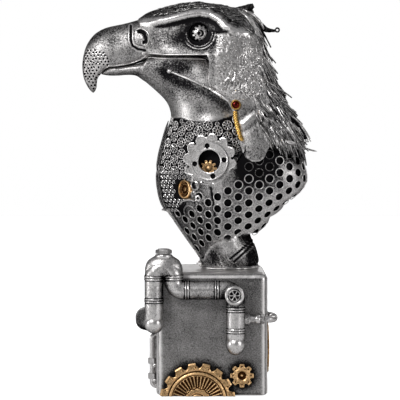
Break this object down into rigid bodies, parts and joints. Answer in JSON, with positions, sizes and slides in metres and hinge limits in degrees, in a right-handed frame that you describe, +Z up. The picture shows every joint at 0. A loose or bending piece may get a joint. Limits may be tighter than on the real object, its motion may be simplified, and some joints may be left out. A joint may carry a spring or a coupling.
{
  "type": "steampunk eagle statue",
  "caption": "Eagle bust in antiqued silver metal with gears, porthole and perforated breast, on a square plinth wrapped in steam pipes and brass gears.",
  "frame": {"origin": "centre of the plinth's underside", "axes": "+Z up, the eagle looks toward -X, its left side and the pipes face -Y"},
  "size_m": [0.1948, 0.1081, 0.32],
  "materials": {
    "antique_silver": "antiqued, black in the recesses",
    "plinth_metal": "rubbed grey, bright worn edges",
    "blackened_steel": "blackened",
    "aged_brass": "aged, dark in the recesses",
    "bright_brass": "polished"
  },
  "bodies": {
    "root": {"plinth": "plinth_metal", "eagle_bust": "antique_silver", "steam_pipe": "antique_silver", "pipe_boss_screw": "blackened_steel", "pipe_hex_plug": "antique_silver", "branch_pipe": "antique_silver", "feed_pipe": "antique_silver", "large_gear": "aged_brass", "small_gear": "aged_brass", "side_gear": "aged_brass", "vent_block": "blackened_steel", "eye_left": "antique_silver", "porthole_cog_left": "antique_silver", "porthole_ring_left": "antique_silver", "porthole_gear_left": "aged_brass", "breast_gland_left": "aged_brass", "cheek_rod_left": "antique_silver", "hose_pivot_left": "aged_brass", "brass_hose_left": "bright_brass", "eye_right": "antique_silver", "porthole_cog_right": "antique_silver", "porthole_ring_right": "antique_silver", "porthole_gear_right": "aged_brass", "breast_gland_right": "aged_brass", "cheek_rod_right": "antique_silver", "hose_pivot_right": "aged_brass", "brass_hose_right": "bright_brass"}
  },
  "joints": []
}
